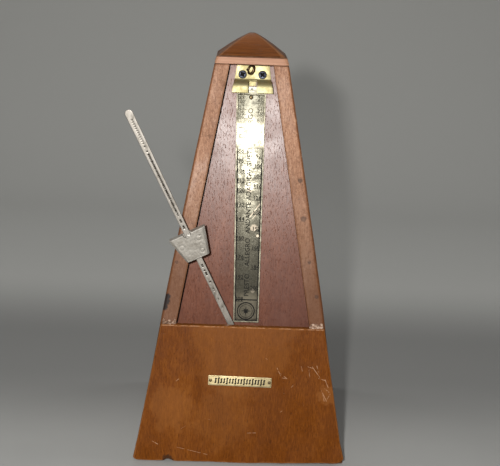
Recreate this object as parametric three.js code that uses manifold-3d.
// A wind-up pyramid metronome with its front cover off, in millimetres.
// Origin: centre of the footprint, on the surface it stands on. +Z is up, and the dial faces -Y.
// The pendulum is shown leaning to -X, at the end of a swing.
import * as THREE from "three";
import { mergeVertices } from "three/addons/utils/BufferGeometryUtils.js";
import Module from "manifold-3d";

const wasm = await Module();
wasm.setup();

// ---------- Driving dimensions ----------
const BASE_HALF = 56; // half the width and depth of the footprint
const TOP_HALF = 19.4; // the same under the cap
const BODY_HEIGHT = 207; // footprint to cap
const GLUE_LINE = 0.05; // gap between boards that are glued together
const SINK = 0.3; // how far a screw's head lies below the surface
const CLEAR = 1; // how far a cutting tool reaches past what it cuts
const OVERLAP = 0.1; // how far shapes that become one body reach into each other
const THROUGH = 60; // longer than anything along X that a bore has to pass
const SLOPE = (BASE_HALF - TOP_HALF) / BODY_HEIGHT; // how fast every face leans in
const LEAN = Math.atan(SLOPE);

const WALL = 8; // side walls, measured along X
const PANEL = { thick: 3.35, height: 72.1 }; // lower front panel, as thick as the missing cover
const BACK = 5;
const FLOOR = { thick: 8 };
const DIAL = { recess: 10.5, thick: 4, low: 67 }; // recess is behind the panel's front face
const CAP = { band: 3.7, roof: 11.5, bandTop: 18.5, levels: 7, tip: 1.3, bulge: 1.18 };
const CLEAT = { wide: 8, high: 8, half: 35 };

const SCALE_PLATE = { top: 199.5, bottom: 74.3, wideTop: 15.6, wideBottom: 13.6, thick: 0.6 };
SCALE_PLATE.tab = { width: 8, from: 196.2 }; // narrow tongue behind the rod clip
SCALE_PLATE.centreTop = 0.3; // the plate is pinned a little out of true
SCALE_PLATE.centreBottom = 1.6;
const SCALE_PIN = { u: 0.35, v: 193.9, head: 1.15, dome: 0.5, shank: 0.6, deep: 2.6, sides: 12 };
const SKIN_GAP = 0.1; // under a plate that lies on sloping wood

// The rod clip, in the dial's plane.
const CLIP = { centre: 0.9, thick: 0.9, step: 3.6, notch: 4.5, notchTop: 202.4 };
CLIP.rows = [
  { v: 211, half: 8.6 }, // hidden under the cap
  { v: 203, half: 9.7 },
  { v: 199.6, half: 10.4 },
  { v: 196, half: 10.9 },
];
const CLIP_SCREWS = { left: -4.6, right: 5.9, v: 205.8, head: 2.1, shank: 1.1, deep: 3.6 };
CLIP_SCREWS.dome = [ // share of the head's radius, height
  [1, 0.05],
  [0.98, 0.35],
  [0.6, 1.05],
  [0, 1.25],
];
const CATCH_EYE = { u: -0.6, v: 208.3, ring: 2.25, wire: 0.55, stem: 3, turn: 68, lift: 0.6 };

const NAMEPLATE = { u: -0.6, v: 44.2, width: 33.4, height: 5.2, thick: 0.5, pinAt: 15.5 };
NAMEPLATE.tilt = 0.9; // degrees: the plate sits slightly crooked
const TRIM_PIN = { head: 0.85, dome: 0.45, shank: 0.45, deep: 2.4, sides: 10 };
const SHOULDER = { across: 0.7, up: 0.8 }; // where a domed head turns over

const PIVOT = { y: -35.8, z: 58.2 }; // where the pendulum rod crosses its arbor
const SWING = THREE.MathUtils.degToRad(26.2); // lean to -X in the rest pose
const ROD = { above: 140.7, below: 40, half: 1.6, tipHalf: 2.1, thick: 0.9, boss: 3.6 };
ROD.widensFrom = 70; // above this the rod widens towards its tip
ROD.play = 0.25; // round the arbor
ROD.forward = THREE.MathUtils.degToRad(2.5); // the rod stands forward, to clear the case
const WEIGHT = { top: 70.1, bottom: 55.5, halfTop: 10.2, halfBottom: 6.3, thick: 5 };
WEIGHT.slot = { half: 2.2, back: 0.7, front: 1.5 };
WEIGHT.notch = { half: 2.3, deep: 2.6 };
WEIGHT.bevel = 1.3;
const WEIGHT_SPRING = { width: 3.2, thick: 0.4, long: 13, low: 56.2, off: 0.62 };
const BOB = { radius: 10.5, thick: 16, centre: 38, slotHalf: 1.95, slotThick: 1.6 };
BOB.round = 1.2;
BOB.underRod = 0.4;

const VERGE = { radius: 1.1, front: -38.9, rear: 17.4 }; // pendulum arbor, along Y at x = 0
const HUB = { radius: 3.2, long: 4, gap: 0.75 };
const NUT = { radius: 2.9, thick: 1.5, gap: 0.85 };
const PALLET = { at: 8.7, long: 3, reach: 3.45, collar: 1.9, thick: 0.6, spread: 45 };
const COCK = { at: 14.5, thick: 3, half: 3.6, reach: 3 };
const COCK_SCREW = { shank: 0.8, long: 5, head: 1.4, headHigh: 0.7 };

const INNER_PLATE = { x: 11, thick: 1.6 };
const OUTER_PLATE = { x: 32.4, thick: 1.6 };
const PLATE = { front: -20, rear: 30, low: FLOOR.thick + GLUE_LINE, high: 69, corner: 3 };
const PILLARS = [
  [-15.5, 12],
  [-15.5, 64],
  [25.5, 12],
  [25, 62],
]; // y, z
const PILLAR = { radius: 3, tenon: 1.5, screw: 1.2, head: 2.3, headHigh: 1.2, chamfer: 0.45, bore: 8 };
const HOLE = 0.1; // radius added to a hole that an arbor turns in
const FIT = 0.05; // radius added to a hole that is pressed on

const CROWN = { teeth: 21, tip: 3.8, root: 6.2, back: 8.3, web: 9.5, inner: 8, outer: 9.4 };
CROWN.land = 0.16; // the tooth's steep side, as a share of the pitch
const TOOTH = { addendum: 0.85, dedendum: 1.2, pressure: 20, thin: 0.78, rootFlank: 0.6 };
const FINE = 0.5; // gear module of the escape pair
const COARSE = 0.55; // gear module of the barrel pair
const ESCAPE_PINION = { teeth: 10, from: 13.4, to: 17.4, left: 7.4 }; // its arbor carries the crown
const SECOND_WHEEL = { teeth: 50, from: 14.6, to: 15.8, rim: 9.8, hub: 3.2, spokes: 4, arm: 1.8 };
SECOND_WHEEL.foot = 1.125; // half a spoke at the hub
const SECOND_PINION = { teeth: 10, from: 17, to: 21 };
const GREAT_WHEEL = { teeth: 56, from: 18, to: 19.6 };
const BARREL = { radius: 13, wall: 0.9, end: 29.6, lid: 0.9, sides: 36 };
const SPRING = { inner: 2.3, outer: 11.3, turns: 6, thick: 0.5, from: 20.8, to: 28.6, steps: 16 };
const WINDER = { radius: 2, square: 1.6, left: 11.2, shoulder: 36.6, end: 42.3 };
const RATCHET = { teeth: 20, tip: 7, root: 6.1, from: 34.8, to: 36.2, land: 0.12 };
const ARBOR = { radius: 1, left: 11.1, right: 33.9 };
const KEY_HOLE = 5.5;

// Arbor centres in the YZ plane. The crown wheel's axis crosses the pendulum arbor.
const ESCAPE_AT = { y: 0, z: PIVOT.z };
const SECOND_AT = along(ESCAPE_AT, (FINE * (ESCAPE_PINION.teeth + SECOND_WHEEL.teeth)) / 2, 32);
const BARREL_AT = along(SECOND_AT, (COARSE * (SECOND_PINION.teeth + GREAT_WHEEL.teeth)) / 2, 13);

// The click lies along a tangent of the ratchet wheel, its nose just clear of the teeth.
const CLICK = { distance: 11.5, angle: 150, radius: 1.7, pin: 0.9, thick: 1.3, noseGap: 0.35, tip: 1.1 };
CLICK.screw = { gap: 0.15, head: 1.6, high: 0.9 };
const CLICK_AT = along(BARREL_AT, CLICK.distance, CLICK.angle + 90);
const CLICK_SPRING = { thick: 0.35, foot: 0.6, lift: 0.9, bow: 0.8, steps: 8, wide: 1.2 };
CLICK_SPRING.footAt = { y: CLICK_AT.y - 5.5, z: CLICK_AT.z + 8 };
CLICK_SPRING.tipAt = { y: CLICK_AT.y + 4.6, z: CLICK_AT.z + 3.3 };
const FLOOR_SCREW = { head: 3.4, headDeep: 2.2, taper: 1.4, shank: 1.6, top: 13 };
const FLOOR_SCREW_AT = { x: 39.5, y: 26 };
const MOVEMENT_SCREW = { head: 3.4, headDeep: 2.2, taper: 1.4, shank: 1.4, top: 12.5 };

// ---------- Materials ----------
const paint = (color, roughness, metalness = 0) =>
  new THREE.MeshStandardMaterial({ color, roughness, metalness });
const WOOD = paint(0x9a5524, 0.45);
const DIAL_WOOD = paint(0x80523f, 0.5);
const RAW_WOOD = paint(0xa98a63, 0.8);
const BRASS = paint(0xc9a95a, 0.35, 1);
const STEEL = paint(0xb9b6ac, 0.4, 1);
const DARK_STEEL = paint(0x55555a, 0.4, 1);
const BRONZE = paint(0x4a3524, 0.5, 1);
const CAST = paint(0xa7a192, 0.65, 0.7);
const LEAD = paint(0x5f6163, 0.7, 0.8);

// ---------- Geometry helpers ----------
const root = new THREE.Group();

function add(name, geometry, material, parent = root) {
  const mesh = new THREE.Mesh(geometry, material);
  mesh.name = name;
  parent.add(mesh);
  return mesh;
}

// The point at a distance from another, turned from straight down towards +Y.
function along(from, distance, degrees) {
  const angle = THREE.MathUtils.degToRad(degrees);
  return { y: from.y + distance * Math.sin(angle), z: from.z - distance * Math.cos(angle) };
}

function solid(geometry) {
  const bare = geometry.index ? geometry.toNonIndexed() : geometry.clone();
  bare.deleteAttribute("normal");
  bare.deleteAttribute("uv");
  const merged = mergeVertices(bare, 1e-4);
  return new wasm.Manifold(
    new wasm.Mesh({
      numProp: 3,
      vertProperties: merged.attributes.position.array,
      triVerts: new Uint32Array(merged.index.array),
    }),
  );
}

function geometryOf(body) {
  const mesh = body.getMesh();
  return new THREE.BufferGeometry()
    .setAttribute("position", new THREE.BufferAttribute(mesh.vertProperties, 3))
    .setIndex(new THREE.BufferAttribute(mesh.triVerts, 1));
}

const cut = (base, ...tools) =>
  geometryOf(tools.reduce((body, tool) => body.subtract(solid(tool)), solid(base)));
const join = (...pieces) => geometryOf(pieces.map(solid).reduce((body, piece) => body.add(piece)));

// Bodies of revolution: the profile lists [radius, height] from its low end to its high end.
const lathe = (profile, sides = 24) =>
  new THREE.LatheGeometry(
    profile.map(([r, h]) => new THREE.Vector2(r, h)),
    sides,
  );
const alongX = (geometry) => geometry.rotateZ(-Math.PI / 2);
const alongZ = (geometry) => geometry.rotateX(Math.PI / 2);
const rod = (radius, from, to, sides = 24) =>
  lathe([[0, from], [radius, from], [radius, to], [0, to]], sides);
const tube = (inner, outer, from, to, sides = 24) =>
  lathe([[inner, from], [outer, from], [outer, to], [inner, to], [inner, from]], sides);

function block([x0, x1], [y0, y1], [z0, z1]) {
  return new THREE.BoxGeometry(x1 - x0, y1 - y0, z1 - z0).translate(
    (x0 + x1) / 2,
    (y0 + y1) / 2,
    (z0 + z1) / 2,
  );
}

const outline = (points) => new THREE.Shape(points.map(([x, y]) => new THREE.Vector2(x, y)));
const extrude = (shape, depth, curveSegments = 12) =>
  new THREE.ExtrudeGeometry(shape, { depth, bevelEnabled: false, curveSegments });

// A shape drawn in the YZ plane, given its thickness along X.
const YZ_TO_X = new THREE.Matrix4().makeBasis(
  new THREE.Vector3(0, 1, 0),
  new THREE.Vector3(0, 0, 1),
  new THREE.Vector3(1, 0, 0),
);
const extrudeX = (shape, from, to) =>
  extrude(shape, to - from).applyMatrix4(YZ_TO_X).translate(from, 0, 0);

// A tapering solid between levels, each a rectangle {x0, x1, y0, y1, z}.
function taper(levels) {
  const points = levels.flatMap(({ x0, x1, y0, y1, z }) => [x0, y0, z, x1, y0, z, x1, y1, z, x0, y1, z]);
  const faces = [0, 2, 1, 0, 3, 2];
  levels.slice(1).forEach((_, level) => {
    for (let side = 0; side < 4; side++) {
      const a = 4 * level + side,
        b = 4 * level + ((side + 1) % 4);
      faces.push(a, b, b + 4, a, b + 4, a + 4);
    }
  });
  const top = 4 * (levels.length - 1);
  faces.push(top, top + 1, top + 2, top, top + 2, top + 3);
  return new THREE.BufferGeometry()
    .setAttribute("position", new THREE.Float32BufferAttribute(points, 3))
    .setIndex(faces);
}

const half = (z) => BASE_HALF - SLOPE * z; // outer face of the case at a height
const board = (low, high, section) => taper([low, high].map((z) => ({ z, ...section(half(z)) })));

// The plane of the front face: u across, v up the slope, n out of the face.
const face = new THREE.Group();
face.rotation.x = Math.PI / 2 - LEAN;
face.position.y = -BASE_HALF;
face.updateMatrix();
root.add(face);
const onFace = (geometry) => geometry.applyMatrix4(face.matrix); // to cut the case's boards
const COS_LEAN = Math.cos(LEAN);
const DIAL_FACE = -DIAL.recess * COS_LEAN; // n of the dial board's surface

// ---------- Wooden case ----------
function sideWall(side) {
  return board(0, BODY_HEIGHT - GLUE_LINE, (w) => ({
    x0: side < 0 ? -w : w - WALL,
    x1: side < 0 ? WALL - w : w,
    y0: -w + PANEL.thick + GLUE_LINE,
    y1: w - BACK - GLUE_LINE,
  }));
}

function makeCase() {
  add("left_side_wall", sideWall(-1), WOOD);
  const keyHole = alongX(rod(KEY_HOLE, OUTER_PLATE.x, BASE_HALF + CLEAR));
  keyHole.translate(0, BARREL_AT.y, BARREL_AT.z);
  add("right_side_wall", cut(sideWall(1), keyHole), WOOD);

  const namePins = [-1, 1].map((s) => onFace(namePin(s, FIT)));
  const panel = board(0, PANEL.height, (w) => ({ x0: -w, x1: w, y0: -w, y1: -w + PANEL.thick }));
  add("front_panel", cut(panel, ...namePins), WOOD);
  const back = board(0, BODY_HEIGHT - GLUE_LINE, (w) => ({ x0: -w, x1: w, y0: w - BACK, y1: w }));
  add("back_panel", back, WOOD);

  const inner = (w) => w - WALL - GLUE_LINE;
  const dial = board(DIAL.low, BODY_HEIGHT - GLUE_LINE, (w) => ({
    x0: -inner(w),
    x1: inner(w),
    y0: -w + DIAL.recess,
    y1: -w + DIAL.recess + DIAL.thick,
  }));
  const dialHoles = [clipScrew(-1, FIT), clipScrew(1, FIT), catchEyeStem(FIT), scalePin(FIT)];
  add("dial_board", cut(dial, ...dialHoles.map(onFace)), DIAL_WOOD);
  add("cap", capBlock(), WOOD);
}

function capBlock() {
  const square = (h, z) => ({ x0: -h, x1: h, y0: -h, y1: h, z: BODY_HEIGHT + z });
  const roof = Array.from({ length: CAP.levels }, (_, i) => {
    const inward = i / (CAP.levels - 1);
    const h = THREE.MathUtils.lerp(CAP.bandTop, CAP.tip, inward);
    return square(h, CAP.band + CAP.roof * (1 - (1 - inward) ** CAP.bulge));
  });
  return taper([square(TOP_HALF, 0), ...roof]);
}

// Driven up from below, its head sunk a little into the floor. A loose one is the hole for it.
function risingScrew({ head, headDeep, taper: cone, shank, top }, x, y, loose = 0) {
  const start = loose ? -CLEAR : SINK;
  const profile = [[0, start], [head + loose, start], [head + loose, headDeep],
    [shank + loose, headDeep + cone], [shank + loose, top + loose], [0, top + loose]];
  return alongZ(lathe(profile, 12)).translate(x, y, 0);
}

const MOVEMENT_X = (INNER_PLATE.x + OUTER_PLATE.x) / 2;
const floorScrew = ([x, y], loose) => risingScrew(FLOOR_SCREW, x, y, loose);
const movementScrew = (y, loose) => risingScrew(MOVEMENT_SCREW, MOVEMENT_X, y, loose);

function makeFloor() {
  const { x, y } = FLOOR_SCREW_AT;
  const places = [[-x, -y], [x, -y], [-x, y], [x, y]];
  const gap = WALL + GLUE_LINE;
  const base = board(0, FLOOR.thick, (w) => ({
    x0: -w + gap,
    x1: w - gap,
    y0: -w + PANEL.thick + GLUE_LINE,
    y1: w - BACK - GLUE_LINE,
  }));
  const holes = places.map((place) => floorScrew(place, FIT));
  const movementHoles = lowerPillars().map(([py]) => movementScrew(py, FIT));
  add("base_board", cut(base, ...holes, ...movementHoles), RAW_WOOD);
  places.forEach((place, i) => add(`base_screw_${i + 1}`, floorScrew(place), DARK_STEEL));
  lowerPillars().forEach(([py], i) => add(`movement_screw_${i + 1}`, movementScrew(py), DARK_STEEL));

  const low = FLOOR.thick + GLUE_LINE;
  for (const side of [-1, 1]) {
    const strip = board(low, low + CLEAT.high, (w) => {
      const wall = w - gap,
        ends = [side * wall, side * (wall - CLEAT.wide)].sort((a, b) => a - b);
      return { x0: ends[0], x1: ends[1], y0: -CLEAT.half, y1: CLEAT.half };
    });
    const own = places.filter(([px]) => px * side > 0).map((place) => floorScrew(place, FIT));
    add(side < 0 ? "cleat_left" : "cleat_right", cut(strip, ...own), RAW_WOOD);
  }
}

// ---------- Brass on the dial ----------
function scaleShape() {
  const { top, bottom, tab, wideTop, wideBottom, centreTop, centreBottom } = SCALE_PLATE;
  return outline([
    [centreBottom - wideBottom / 2, bottom],
    [centreBottom + wideBottom / 2, bottom],
    [centreTop + wideTop / 2, tab.from],
    [centreTop + tab.width / 2, tab.from + 1],
    [centreTop + tab.width / 2, top],
    [centreTop - tab.width / 2, top],
    [centreTop - tab.width / 2, tab.from + 1],
    [centreTop - wideTop / 2, tab.from],
  ]);
}

// A pin driven in along n, its domed head on a surface at a height.
function domedPin({ head, dome, shank, deep, sides }, surface, loose = 0) {
  const seat = surface + FIT;
  const profile = [[0, seat - deep], [shank + loose, seat - deep], [shank + loose, seat], [head, seat],
    [head * SHOULDER.across, seat + dome * SHOULDER.up], [0, seat + dome]];
  return alongZ(lathe(profile, sides));
}

function scalePin(loose = 0) {
  const surface = DIAL_FACE + SKIN_GAP + SCALE_PLATE.thick;
  return domedPin(SCALE_PIN, surface, loose).translate(SCALE_PIN.u, SCALE_PIN.v, 0);
}

// Flat upper leaf, a slanted step forward and a lower leaf with the notch that holds the rod.
function rodClip() {
  const { centre, thick, step, notch, notchTop, rows } = CLIP;
  const base = DIAL_FACE + SKIN_GAP;
  const bands = rows.slice(1).map((row, i) => {
    const upper = rows[i];
    const nUpper = base + (i < 2 ? 0 : step),
      nLower = base + (i < 1 ? 0 : step);
    const corner = (r, n) => [
      [centre - r.half, r.v, n],
      [centre + r.half, r.v, n],
      [centre + r.half, r.v, n + thick],
      [centre - r.half, r.v, n + thick],
    ];
    const points = [...corner(row, nLower), ...corner(upper, nUpper)].flat();
    const faces = [0, 1, 2, 0, 2, 3, 4, 6, 5, 4, 7, 6];
    for (let s = 0; s < 4; s++) {
      const t = (s + 1) % 4;
      faces.push(s, s + 4, t + 4, s, t + 4, t);
    }
    return new THREE.BufferGeometry()
      .setAttribute("position", new THREE.Float32BufferAttribute(points, 3))
      .setIndex(faces);
  });
  const slotEnds = [rows.at(-1).v - CLEAR, notchTop];
  const rodSlot = block([centre - notch / 2, centre + notch / 2], slotEnds, [base - CLEAR, 0]);
  const holes = [-1, 1].map((side) => clipScrew(side, FIT));
  return cut(join(...bands), rodSlot, ...holes, catchEyeStem(FIT));
}

function clipScrew(side, loose = 0) {
  const { left, right, v, head, shank, deep, dome } = CLIP_SCREWS;
  const on = DIAL_FACE + SKIN_GAP + CLIP.thick;
  const foot = on - deep - loose;
  const cap = dome.map(([share, high]) => [head * share, on + high]);
  const profile = [[0, foot], [shank + loose, foot], [shank + loose, cap[0][1]], ...cap];
  return alongZ(lathe(profile, 16)).translate(side < 0 ? left : right, v, 0);
}

function catchEyeStem(loose = 0) {
  const { u, v, wire, stem, lift } = CATCH_EYE;
  const on = DIAL_FACE + SKIN_GAP + CLIP.thick;
  return alongZ(rod(wire + loose, on - stem, on + lift + wire / 2, 10)).translate(u, v, 0);
}

function catchEye() {
  const { u, v, ring, wire, turn, lift } = CATCH_EYE;
  const on = DIAL_FACE + SKIN_GAP + CLIP.thick;
  const loop = new THREE.TorusGeometry(ring, wire, 8, 20)
    .rotateY(THREE.MathUtils.degToRad(turn))
    .translate(u, v, on + lift + ring);
  return join(loop, catchEyeStem());
}

function namePin(side, loose = 0) {
  const { u, v, thick, pinAt, tilt } = NAMEPLATE;
  const rise = side * pinAt * Math.tan(THREE.MathUtils.degToRad(tilt));
  return domedPin(TRIM_PIN, SKIN_GAP + thick, loose).translate(u + side * pinAt, v - rise, 0);
}

function namePlate() {
  const { u, v, width, height, thick, tilt } = NAMEPLATE;
  const sheet = new THREE.BoxGeometry(width, height, thick)
    .rotateZ(-THREE.MathUtils.degToRad(tilt))
    .translate(u, v, SKIN_GAP + thick / 2);
  return cut(sheet, namePin(-1, FIT), namePin(1, FIT));
}

function makeTrim() {
  const base = DIAL_FACE + SKIN_GAP;
  const scale = extrude(scaleShape(), SCALE_PLATE.thick).translate(0, 0, base);
  add("scale_plate", cut(scale, scalePin(FIT)), BRASS, face);
  add("scale_pin", scalePin(), BRASS, face);
  add("rod_clip", rodClip(), BRASS, face);
  add("rod_clip_screw_left", clipScrew(-1), DARK_STEEL, face);
  add("rod_clip_screw_right", clipScrew(1), DARK_STEEL, face);
  add("cover_catch_eye", catchEye(), BRONZE, face);
  add("nameplate", namePlate(), BRASS, face);
  add("nameplate_pin_left", namePin(-1), BRASS, face);
  add("nameplate_pin_right", namePin(1), BRASS, face);
}

// ---------- Movement frame ----------
const isLow = ([, z]) => z < PIVOT.z / 2;
const lowerPillars = () => PILLARS.filter(isLow);
const bore = (radius, sides = 24) => alongX(rod(radius, 0, THROUGH, sides));
const punch = (radius, y, z, sides) => bore(radius, sides).translate(0, y, z);

function plate({ x, thick }, holes) {
  const { front, rear, low, high, corner } = PLATE;
  const shape = new THREE.Shape();
  shape.moveTo(front, low).lineTo(rear, low).lineTo(rear, high - corner);
  shape.absarc(rear - corner, high - corner, corner, 0, Math.PI / 2);
  shape.lineTo(front + corner, high);
  shape.absarc(front + corner, high - corner, corner, Math.PI / 2, Math.PI);
  shape.lineTo(front, low);
  return cut(extrudeX(shape, x, x + thick), ...holes);
}

function makeFrame() {
  const turning = [
    punch(ARBOR.radius + HOLE, ESCAPE_AT.y, ESCAPE_AT.z),
    punch(ARBOR.radius + HOLE, SECOND_AT.y, SECOND_AT.z),
  ];
  const winderHole = punch(WINDER.radius + HOLE, BARREL_AT.y, BARREL_AT.z);
  const tenons = PILLARS.map(([y, z]) => punch(PILLAR.tenon + FIT, y, z, 12));
  const cockHoles = [-1, 1].map((side) => cockScrew(side, FIT));
  add("inner_plate", plate(INNER_PLATE, [...turning, winderHole, ...tenons, ...cockHoles]), BRASS);

  const screwHoles = PILLARS.map(([y, z]) => punch(PILLAR.screw + FIT, y, z, 12));
  const clickHole = punch(CLICK.pin + FIT, CLICK_AT.y, CLICK_AT.z, 12);
  const foot = CLICK_SPRING.footAt;
  const footHole = punch(CLICK_SPRING.foot + FIT, foot.y, foot.z, 12);
  const outerHoles = [...turning, winderHole, ...screwHoles, clickHole, footHole];
  add("outer_plate", plate(OUTER_PLATE, outerHoles), BRASS);

  const from = INNER_PLATE.x + INNER_PLATE.thick,
    to = OUTER_PLATE.x;
  PILLARS.forEach(([y, z], i) => {
    const profile = [
      [0, INNER_PLATE.x], [PILLAR.tenon, INNER_PLATE.x], [PILLAR.tenon, from], [PILLAR.radius, from],
      [PILLAR.radius, to], [PILLAR.screw + FIT, to], [PILLAR.screw + FIT, to - PILLAR.bore],
      [0, to - PILLAR.bore],
    ];
    const pillar = alongX(lathe(profile, 12)).translate(0, y, z);
    const held = isLow([y, z]) ? cut(pillar, movementScrew(y, FIT)) : pillar;
    add(`pillar_${i + 1}`, held, BRASS);
    add(`pillar_screw_${i + 1}`, pillarScrew(y, z), DARK_STEEL);
  });
}

function pillarScrew(y, z) {
  const { screw, head, headHigh, chamfer } = PILLAR;
  const seat = OUTER_PLATE.x + OUTER_PLATE.thick,
    tip = OUTER_PLATE.x - PILLAR.bore + CLEAR,
    top = seat + headHigh;
  const profile = [[0, tip], [screw, tip], [screw, seat], [head, seat], [head, top - chamfer],
    [head - chamfer, top], [0, top]];
  return alongX(lathe(profile, 12)).translate(0, y, z);
}

// The cocks carry the pendulum arbor in front of and behind the crown wheel.
function cock(side) {
  const y0 = side * COCK.at - COCK.thick / 2;
  const body = block(
    [-COCK.reach, INNER_PLATE.x],
    [y0, y0 + COCK.thick],
    [PIVOT.z - COCK.half, PIVOT.z + COCK.half],
  );
  const bearing = rod(VERGE.radius + HOLE, y0 - CLEAR, y0 + COCK.thick + CLEAR).translate(0, 0, PIVOT.z);
  return cut(body, bearing, cockScrew(side, FIT));
}

function cockScrew(side, loose = 0) {
  const seat = INNER_PLATE.x + INNER_PLATE.thick;
  const { shank, long, head, headHigh } = COCK_SCREW;
  const tip = INNER_PLATE.x - long - loose;
  const profile = [[0, tip], [shank + loose, tip], [shank + loose, seat], [head + loose, seat],
    [head + loose, seat + headHigh], [0, seat + headHigh]];
  return alongX(lathe(profile, 10)).translate(0, side * COCK.at, PIVOT.z);
}

// ---------- Wheels ----------
// Straight-flanked teeth on the pitch circle, thinned for backlash.
function gearShape(teeth, module, phase) {
  const { addendum, dedendum, pressure, thin, rootFlank } = TOOTH;
  const pitch = (teeth * module) / 2,
    tip = pitch + addendum * module,
    base = pitch - dedendum * module,
    flank = module * Math.tan(THREE.MathUtils.degToRad(pressure));
  const halfPitch = (Math.PI * module * thin) / 4;
  const halfTip = (halfPitch - addendum * flank) / tip,
    halfRoot = (halfPitch + dedendum * flank * rootFlank) / base;
  const points = [];
  for (let i = 0; i < teeth; i++) {
    const centre = phase + (i * 2 * Math.PI) / teeth;
    for (const [radius, offset] of [[base, -halfRoot], [tip, -halfTip], [tip, halfTip], [base, halfRoot]])
      points.push([radius * Math.cos(centre + offset), radius * Math.sin(centre + offset)]);
  }
  return outline(points);
}

const direction = (from, to) => Math.atan2(to.z - from.z, to.y - from.y);

// A cup with a web at its back and saw teeth round its open end, two stations a tooth.
function crownWheel() {
  const { teeth, tip, root: low, back, web, inner, outer, land } = CROWN;
  const points = [],
    faces = [],
    stations = teeth * 2,
    centre = ARBOR.radius + FIT,
    corners = 6;
  for (let i = 0; i < stations; i++) {
    const angle = ((i >> 1) + (i % 2 ? land : 0)) * ((2 * Math.PI) / teeth);
    const x = i % 2 ? low : tip;
    const section = [[centre, back], [inner, back], [inner, x], [outer, x], [outer, web], [centre, web]];
    for (const [radius, px] of section)
      points.push(px, radius * Math.cos(angle), radius * Math.sin(angle));
  }
  for (let i = 0; i < stations; i++)
    for (let s = 0; s < corners; s++) {
      const t = (s + 1) % corners,
        next = (i + 1) % stations;
      const [a, b, c, d] = [corners * i + s, corners * i + t, corners * next + t, corners * next + s];
      faces.push(a, c, b, a, d, c);
    }
  return new THREE.BufferGeometry()
    .setAttribute("position", new THREE.Float32BufferAttribute(points, 3))
    .setIndex(faces);
}

function pinionArbor({ teeth, from, to, left = ARBOR.left }, module, phase) {
  const leaves = extrudeX(gearShape(teeth, module, phase), from, to);
  return join(leaves, alongX(rod(ARBOR.radius, left, ARBOR.right, 16)));
}

function spokedWheel() {
  const { teeth, from, to, rim, hub, spokes, arm, foot } = SECOND_WHEEL;
  const phase = direction(SECOND_AT, ESCAPE_AT);
  const disc = extrudeX(gearShape(teeth, FINE, phase), from, to);
  const windows = Array.from({ length: spokes }, (_, i) => {
    const turn = (i * 2 * Math.PI) / spokes,
      open = Math.PI / spokes;
    const shape = new THREE.Shape();
    shape.absarc(0, 0, rim, turn - open + arm / rim, turn + open - arm / rim);
    shape.absarc(0, 0, hub, turn + open - foot / hub, turn - open + foot / hub, true);
    return extrudeX(shape, from - CLEAR, to + CLEAR);
  });
  return cut(disc, ...windows, bore(ARBOR.radius + FIT, 16));
}

function barrelDrum() {
  const { radius, wall, end, sides } = BARREL;
  const wheel = extrudeX(
    gearShape(GREAT_WHEEL.teeth, COARSE, direction(BARREL_AT, SECOND_AT)),
    GREAT_WHEEL.from,
    GREAT_WHEEL.to,
  );
  const drum = alongX(tube(radius - wall, radius, GREAT_WHEEL.to - OVERLAP, end, sides));
  return cut(join(wheel, drum), bore(WINDER.radius + HOLE));
}

function mainspring() {
  const { inner, outer, turns, thick, from, to, steps } = SPRING;
  const total = turns * steps;
  const at = (i, extra) => {
    const angle = (i * 2 * Math.PI) / steps,
      radius = THREE.MathUtils.lerp(inner, outer, i / total) + extra;
    return [radius * Math.cos(angle), radius * Math.sin(angle)];
  };
  const out = [],
    back = [];
  for (let i = 0; i <= total; i++) {
    out.push(at(i, thick));
    back.unshift(at(i, 0));
  }
  return extrudeX(outline([...out, ...back]), from, to);
}

function winder() {
  const { radius, square, left, shoulder, end } = WINDER;
  const round = alongX(rod(radius, left, shoulder, 24));
  const key = block([shoulder - OVERLAP, end], [-square, square], [-square, square]);
  return join(round, key);
}

function ratchet() {
  const { teeth, tip, root: low, from, to, land } = RATCHET;
  const points = [];
  for (let i = 0; i < teeth; i++) {
    const angle = (i * 2 * Math.PI) / teeth,
      step = (2 * Math.PI) / teeth;
    points.push([tip * Math.cos(angle), tip * Math.sin(angle)]);
    points.push([low * Math.cos(angle + land * step), low * Math.sin(angle + land * step)]);
  }
  return cut(extrudeX(outline(points), from, to), bore(WINDER.radius + FIT));
}

// Drawn round its pin: a round eye that narrows to a nose on the ratchet's rim.
function clickLever() {
  const { distance, angle, radius, thick, noseGap, tip } = CLICK;
  const rim = RATCHET.tip + noseGap;
  const noseAngle = THREE.MathUtils.degToRad(angle) - Math.acos(rim / distance);
  const pin = new THREE.Vector2(CLICK_AT.y - BARREL_AT.y, CLICK_AT.z - BARREL_AT.z);
  const nose = new THREE.Vector2(Math.cos(noseAngle), Math.sin(noseAngle));
  const inner = nose.clone().multiplyScalar(rim).sub(pin);
  const outer = nose.clone().multiplyScalar(rim + tip).sub(pin);
  const heading = Math.atan2(inner.y, inner.x);
  const shape = new THREE.Shape();
  shape.absarc(0, 0, radius, heading + Math.PI / 2, heading + (3 * Math.PI) / 2);
  shape.lineTo(inner.x, inner.y).lineTo(outer.x, outer.y);
  const lever = extrudeX(shape, RATCHET.from, RATCHET.from + thick);
  return cut(lever, bore(CLICK.pin + HOLE, 12));
}

function clickScrew() {
  const { gap, head, high } = CLICK.screw;
  const start = OUTER_PLATE.x - CLEAR,
    over = RATCHET.from + CLICK.thick + gap;
  const profile = [[0, start], [CLICK.pin, start], [CLICK.pin, over], [head, over],
    [head, over + high], [0, over + high]];
  return alongX(lathe(profile, 12));
}

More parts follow.
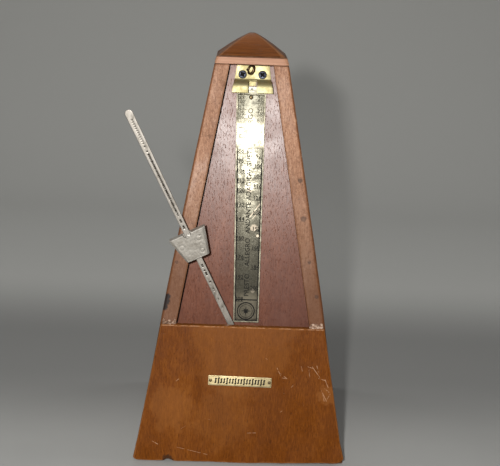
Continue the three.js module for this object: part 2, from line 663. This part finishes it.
// A thin bowed leaf from a foot in the outer plate to just above the click's back.
function clickSpring() {
  const { thick, foot, footAt, tipAt, bow, steps, wide } = CLICK_SPRING;
  const from = OUTER_PLATE.x + OUTER_PLATE.thick + CLICK_SPRING.lift;
  const edge = (offset) =>
    Array.from({ length: steps + 1 }, (_, i) => {
      const t = i / steps;
      return [
        THREE.MathUtils.lerp(footAt.y, tipAt.y, t),
        THREE.MathUtils.lerp(footAt.z, tipAt.z, t) + bow * Math.sin(Math.PI * t) + offset,
      ];
    });
  const leaf = extrudeX(outline([...edge(-thick / 2), ...edge(thick / 2).reverse()]), from, from + wide);
  const peg = alongX(rod(foot, OUTER_PLATE.x, from + wide, 12)).translate(0, footAt.y, footAt.z);
  return join(leaf, peg);
}

function placed(mesh, { y, z }) {
  mesh.position.set(0, y, z);
}

function makeTrain() {
  const toSecond = direction(ESCAPE_AT, SECOND_AT);
  const pinionPhase = toSecond + Math.PI / ESCAPE_PINION.teeth;
  placed(add("crown_wheel", crownWheel(), BRASS), ESCAPE_AT);
  placed(add("escape_arbor", pinionArbor(ESCAPE_PINION, FINE, pinionPhase), STEEL), ESCAPE_AT);

  placed(add("second_wheel", spokedWheel(), BRASS), SECOND_AT);
  const secondPhase = direction(SECOND_AT, BARREL_AT) + Math.PI / SECOND_PINION.teeth;
  placed(add("second_arbor", pinionArbor(SECOND_PINION, COARSE, secondPhase), STEEL), SECOND_AT);

  placed(add("spring_barrel", barrelDrum(), BRASS), BARREL_AT);
  const { radius, end, lid, sides } = BARREL;
  const cover = alongX(tube(WINDER.radius + HOLE, radius, end, end + lid, sides));
  placed(add("barrel_lid", cover, BRASS), BARREL_AT);
  placed(add("mainspring", mainspring(), DARK_STEEL), BARREL_AT);
  placed(add("winding_arbor", winder(), STEEL), BARREL_AT);
  placed(add("ratchet_wheel", ratchet(), STEEL), BARREL_AT);
  placed(add("click", clickLever(), STEEL), CLICK_AT);
  placed(add("click_screw", clickScrew(), DARK_STEEL), CLICK_AT);
  add("click_spring", clickSpring(), STEEL);
}

// ---------- Pendulum ----------
// Upright in its own frame: the swing group leans it, and the rod group tips it forward.
const swing = new THREE.Group();
swing.position.set(0, PIVOT.y, PIVOT.z);
swing.rotation.y = -SWING;
root.add(swing);
const rodFrame = new THREE.Group();
rodFrame.rotation.x = ROD.forward;
swing.add(rodFrame);

function pendulumRod() {
  const { above, below, half: h, tipHalf, thick, boss, widensFrom, play } = ROD;
  const shape = new THREE.Shape();
  shape.moveTo(-h, -below).lineTo(h, -below);
  const enter = Math.acos(h / boss);
  shape.absarc(0, 0, boss, -enter, enter);
  shape.lineTo(h, widensFrom).lineTo(tipHalf, above - tipHalf);
  shape.absarc(0, above - tipHalf, tipHalf, 0, Math.PI);
  shape.lineTo(-h, widensFrom);
  shape.absarc(0, 0, boss, Math.PI - enter, Math.PI + enter);
  shape.lineTo(-h, -below);
  const strip = extrude(shape, thick, 8).rotateX(Math.PI / 2).translate(0, thick / 2, 0);
  return cut(strip, rod(VERGE.radius + play, -CLEAR, CLEAR, 16));
}

function slidingWeight() {
  const { top, bottom, halfTop, halfBottom, thick, slot, notch, bevel } = WEIGHT;
  const sides = [
    [-halfBottom, bottom],
    [halfBottom, bottom],
    [halfTop, top],
    [-halfTop, top],
  ];
  const body = extrude(outline(sides), thick).rotateX(Math.PI / 2).translate(0, thick / 2, 0);
  const slotCut = block([-slot.half, slot.half], [-slot.front, slot.back], [bottom - CLEAR, top + CLEAR]);
  const notchShape = new THREE.Shape();
  notchShape.moveTo(-notch.half, top + CLEAR).lineTo(-notch.half, top);
  notchShape.absarc(0, top - notch.deep + notch.half, notch.half, Math.PI, 2 * Math.PI);
  notchShape.lineTo(notch.half, top + CLEAR);
  const notchCut = extrude(notchShape, thick, 8).rotateX(Math.PI / 2);
  notchCut.translate(0, OVERLAP - slot.front, 0);
  const slant = Math.atan2(halfTop - halfBottom, top - bottom);
  const bevels = [-1, 1].map((side) =>
    new THREE.BoxGeometry(2 * bevel, 2 * bevel, 2 * (top - bottom))
      .rotateZ(Math.PI / 4)
      .rotateY(side * slant)
      .translate((side * (halfTop + halfBottom)) / 2, thick / 2, (top + bottom) / 2),
  );
  return cut(body, slotCut, notchCut, ...bevels);
}

function weightSpring() {
  const { width, thick, long, low, off } = WEIGHT_SPRING;
  const h = width / 2;
  const shape = new THREE.Shape();
  shape.moveTo(-h, low).lineTo(h, low).lineTo(h, low + long - h);
  shape.absarc(0, low + long - h, h, 0, Math.PI);
  shape.lineTo(-h, low);
  return extrude(shape, thick, 6).rotateX(Math.PI / 2).translate(0, -off, 0);
}

function bobSolid() {
  const { radius, thick, centre, slotHalf, slotThick, round, underRod } = BOB;
  const h = thick / 2;
  const profile = [[0, -h], [radius - round, -h], [radius, round - h], [radius, h - round],
    [radius - round, h], [0, h]];
  const body = lathe(profile, 32).translate(0, 0, -centre);
  const slot = block([-slotHalf, slotHalf], [-slotThick / 2, slotThick / 2], [-ROD.below - underRod, 0]);
  return cut(body, slot);
}

function pallet(side) {
  const { at, long, reach, collar, thick, spread } = PALLET;
  const y = side * at - PIVOT.y;
  const ring = rod(collar, y - long / 2, y + long / 2, 16);
  const flag = block([0, reach], [y - long / 2, y + long / 2], [-thick / 2, thick / 2]).rotateY(
    THREE.MathUtils.degToRad(side * spread),
  );
  return cut(join(ring, flag), rod(VERGE.radius + FIT, y - long, y + long, 16));
}

function makePendulum() {
  add("pendulum_rod", pendulumRod(), STEEL, rodFrame);
  add("pendulum_bob", bobSolid(), LEAD, rodFrame);
  add("sliding_weight", slidingWeight(), CAST, rodFrame);
  add("weight_spring", weightSpring(), STEEL, rodFrame);
  const behind = HUB.gap;
  add("rod_hub", tube(VERGE.radius + FIT, HUB.radius, behind, behind + HUB.long), BRASS, swing);
  const [nutFront, nutRear] = [-NUT.gap - NUT.thick, -NUT.gap];
  const nut = cut(rod(NUT.radius, nutFront, nutRear, 6), rod(VERGE.radius + FIT, nutFront - CLEAR, 0, 16));
  add("hub_nut", nut, BRASS, swing);
  add("pendulum_arbor", rod(VERGE.radius, VERGE.front - PIVOT.y, VERGE.rear - PIVOT.y, 16), STEEL, swing);
  add("pallet_front", pallet(-1), STEEL, swing);
  add("pallet_rear", pallet(1), STEEL, swing);
  add("front_cock", cock(-1), BRASS);
  add("rear_cock", cock(1), BRASS);
  add("front_cock_screw", cockScrew(-1), DARK_STEEL);
  add("rear_cock_screw", cockScrew(1), DARK_STEEL);
}

makeCase();
makeFloor();
makeTrim();
makeFrame();
makeTrain();
makePendulum();

export default root;
